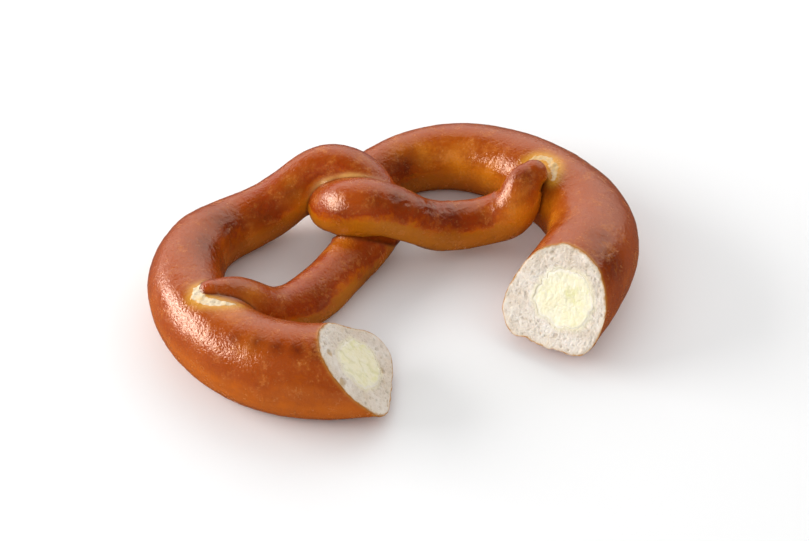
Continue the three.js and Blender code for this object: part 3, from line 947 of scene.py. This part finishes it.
COLOURS = {
    "crust_top": ((0.34, 0.054, 0.003), "Chestnut crust that faces up"),
    "crust_shoulder": ((0.31, 0.034, 0.002), "Deep red-brown shoulder"),
    "crust_flank": ((0.52, 0.105, 0.003), "Orange flank of a thin stretch"),
    "crust_foot": ((0.49, 0.145, 0.004), "Golden foot of a thin stretch"),
    "crust_gold": ((0.66, 0.20, 0.006), "Patches that stayed golden"),
    "crust_belly": ((0.52, 0.112, 0.004), "Orange-brown flank of the belly"),
    "crust_freckle": ((0.60, 0.17, 0.012), "Lighter orange freckles"),
    # partly darker baking, partly painted shade on inner flanks and the strand's top
    "crust_scorch": ((0.13, 0.013, 0.002), "Patches that baked darker"),
    "crust_speck": ((0.62, 0.28, 0.08), "Light specks in the crust"),
    "crust_halo": ((0.66, 0.32, 0.03), "Golden crust beside a tear"),
    "crust_edge": ((0.55, 0.24, 0.04), "Crust at the cut's edge"),
    # painted shade in the crease between ropes
    "crust_crease": ((0.10, 0.016, 0.003), "Dark crease between ropes"),
    "crust_seam": ((0.62, 0.30, 0.08), "Pale seam between ropes"),
    "crust_sheen": ((1.0, 0.76, 0.58), "Warm tint of the crust's sheen"),
    "crumb_torn": ((0.78, 0.65, 0.45), "Pale crumb in a tear"),
    "crumb_toasted": ((0.70, 0.46, 0.19), "Crumb in a tear that coloured"),
    "crumb": ((0.82, 0.75, 0.67), "Cream crumb"),
    "crumb_shade": ((0.72, 0.61, 0.50), "Duller crumb"),
    "crumb_tan": ((0.70, 0.55, 0.37), "Tan patches in the crumb"),
    # painted shade in the crumb's pores
    "crumb_pore": ((0.47, 0.38, 0.28), "Floor of a pore"),
    "crumb_spot": ((0.56, 0.38, 0.19), "Toasted floor of a large pore"),
    "crumb_edge": ((0.50, 0.24, 0.07), "Toasted crumb under the crust"),
    "cheese": ((0.84, 0.775, 0.53), "Pale yellow curds"),
    "cheese_pale": ((0.86, 0.81, 0.63), "Whiter curds"),
    # painted shade between the curds
    "cheese_hollow": ((0.74, 0.69, 0.42), "Between the curds"),
    "cheese_streak": ((0.74, 0.71, 0.30), "Yellow-green streaks"),
}


def colour_property(key, value, description):
    """A colour setting, named after its key."""
    name = key.replace("_", " ").capitalize()
    return FloatVectorProperty(
        name=name, description=description, default=value, size=3, min=0, max=1, subtype="COLOR"
    )


class PretzelSettings(bpy.types.PropertyGroup):
    rows: IntProperty(name="Crust rows", description="Rings along a rope", default=CRUST_ROWS, min=80)
    columns: IntProperty(name="Crust columns", description="Points round it", default=CRUST_COLUMNS, min=24)
    __annotations__.update({key: colour_property(key, *COLOURS[key]) for key in COLOURS})


# Azimuth and elevation in degrees, distance and size in metres, power in watts, whether the crust mirrors
# the light and whether it lights matt surfaces.
LIGHTS = {
    "key": (144, 23, 1.2, (1.0, 0.36), 12.0, True, True),
    "sky": (46, 34, 1.3, (2.1, 1.5), 12.5, True, True),
    "glint": (136, 15, 1.2, (0.8, 0.2), 4.0, True, False),
    "band": (104, 12, 1.3, (0.9, 0.6), 2.2, True, True),
    "front": (-150, 35, 1.4, (1.5, 1.2), 7.0, False, True),
    "side": (-35, 35, 1.4, (1.2, 1.0), 3.5, False, True),
}
LIGHT_AIM = Vector((0, 0, 0.015))
CAMERA_AZIMUTH = -119.0
CAMERA_ELEVATION = 40.5
CAMERA_TARGET = (9.0, 12.0, 0.0)
CAMERA_DISTANCE = 0.85


def power_property(name):
    """The power setting of a light."""
    return FloatProperty(name=name.capitalize(), description="Power in watts", default=LIGHTS[name][4])


class StageSettings(bpy.types.PropertyGroup):
    floor_colour: colour_property("floor", (0.86, 0.86, 0.86), "Plain pale floor")
    floor_mirrored: colour_property("floor_mirrored", (0.10, 0.10, 0.10), "The floor as the crust mirrors it")
    floor_size: FloatProperty(name="Floor size", description="Side of the floor", default=6.0, unit="LENGTH")
    lens: FloatProperty(name="Lens", description="Focal length in millimetres", default=100.2)
    world: FloatProperty(name="World", description="Strength of the surrounding light", default=0.42)
    __annotations__.update({name: power_property(name) for name in LIGHTS})


class PRETZEL_OT_ropes(bpy.types.Operator):
    """Build the crust of both ropes"""

    bl_idname = "pretzel.ropes"
    bl_label = "Ropes of Dough"

    def execute(self, context):
        settings = context.scene.pretzel
        for name in ROPES:
            dress(rope_piece(name, settings), "lye_crust", crust_finish, settings, "bread")
        return {"FINISHED"}


class PRETZEL_OT_crumb(bpy.types.Operator):
    """Build the two cut faces of crumb"""

    bl_idname = "pretzel.crumb"
    bl_label = "Cut Faces"

    def execute(self, context):
        settings = context.scene.pretzel
        for name in ROPES:
            dress(crumb_piece(name, settings), "pale_crumb", crumb_finish, settings, "bread")
        return {"FINISHED"}


class PRETZEL_OT_cheese(bpy.types.Operator):
    """Build the two cores of soft cheese"""

    bl_idname = "pretzel.cheese"
    bl_label = "Cheese"

    def execute(self, context):
        settings = context.scene.pretzel
        for name in ROPES:
            node = "filling_" + name
            dress(filling_piece(name), "soft_cheese", cheese_finish, settings, node)
        return {"FINISHED"}


def looking_at(azimuth, elevation, distance, aim):
    """The placement of a light or camera on a sphere round the aim, turned towards it."""
    a, e = math.radians(azimuth), math.radians(elevation)
    way = Vector((math.cos(a) * math.cos(e), math.sin(a) * math.cos(e), math.sin(e)))
    return Matrix.Translation(aim + way * distance) @ way.to_track_quat("Z", "Y").to_matrix().to_4x4()


def area_light(name, power):
    """A soft light turned towards the pretzel."""
    azimuth, elevation, distance, size, _, mirrored, lights = LIGHTS[name]
    light = bpy.data.lights.new(name, "AREA")
    light.shape = "RECTANGLE"
    light.size, light.size_y = size
    light.energy = power
    holder = bpy.data.objects.new(name, light)
    holder.matrix_world = looking_at(azimuth, elevation, distance, LIGHT_AIM)
    holder.visible_glossy = mirrored
    holder.visible_diffuse = lights
    bpy.context.scene.collection.objects.link(holder)


class PRETZEL_OT_stage(bpy.types.Operator):
    """Build the floor, the lights and the camera"""

    bl_idname = "pretzel.stage"
    bl_label = "Stage"

    def execute(self, context):
        settings = context.scene.pretzel_stage
        half = settings.floor_size / 2
        mesh = bpy.data.meshes.new("floor")
        corners = [(-half, -half, 0), (half, -half, 0), (half, half, 0), (-half, half, 0)]
        mesh.from_pydata(corners, [], [(0, 1, 2, 3)])
        floor = bpy.data.objects.new("floor", mesh)
        context.scene.collection.objects.link(floor)
        f = Finish("pale_floor")
        glossy = f.add("LightPath")["Is Glossy Ray"]
        colour = f.mix(glossy, settings.floor_colour, settings.floor_mirrored)
        f.put(Base_Color=colour, Roughness=0.9, Specular_IOR_Level=0.1)
        mesh.materials.append(f.material)
        floor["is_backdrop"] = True
        world = bpy.data.worlds.new("studio")
        world.use_nodes = True
        background = world.node_tree.nodes["Background"]
        background.inputs["Color"].default_value = (1, 1, 1, 1)
        background.inputs["Strength"].default_value = settings.world
        context.scene.world = world
        for name in LIGHTS:
            area_light(name, getattr(settings, name))
        world.cycles_visibility.glossy = False
        camera = bpy.data.cameras.new("camera")
        camera.sensor_width = 36.0
        camera.lens = settings.lens
        camera.clip_start = 0.01
        holder = bpy.data.objects.new("camera", camera)
        target = (Vector(CAMERA_TARGET) + Vector(SHIFT)) * MM
        holder.matrix_world = looking_at(CAMERA_AZIMUTH, CAMERA_ELEVATION, CAMERA_DISTANCE, target)
        context.scene.collection.objects.link(holder)
        context.scene.camera = holder
        context.scene.view_settings.view_transform = "Standard"
        return {"FINISHED"}


OPERATORS = (PRETZEL_OT_ropes, PRETZEL_OT_crumb, PRETZEL_OT_cheese, PRETZEL_OT_stage)


class PRETZEL_PT_panel(bpy.types.Panel):
    bl_label = "Soft Pretzel"
    bl_idname = "PRETZEL_PT_panel"
    bl_space_type = "VIEW_3D"
    bl_region_type = "UI"
    bl_category = "Pretzel"

    def draw(self, context):
        for group in (context.scene.pretzel, context.scene.pretzel_stage):
            for key in group.__annotations__:
                self.layout.prop(group, key)
        for operator in OPERATORS:
            self.layout.operator(operator.bl_idname)


CLASSES = (PretzelSettings, StageSettings, *OPERATORS, PRETZEL_PT_panel)


def register():
    for cls in CLASSES:
        bpy.utils.register_class(cls)
    bpy.types.Scene.pretzel = PointerProperty(type=PretzelSettings)
    bpy.types.Scene.pretzel_stage = PointerProperty(type=StageSettings)


def unregister():
    del bpy.types.Scene.pretzel_stage
    del bpy.types.Scene.pretzel
    for cls in reversed(CLASSES):
        bpy.utils.unregister_class(cls)


def main():
    register()
    bpy.ops.pretzel.ropes()
    bpy.ops.pretzel.crumb()
    bpy.ops.pretzel.cheese()
    bpy.ops.pretzel.stage()
    boxes = {"cad": CAD_BOX, "visual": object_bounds()}
    plain = {key: [[float(v) for v in corner] for corner in box] for key, box in boxes.items()}


if __name__ == "__main__":
    main()
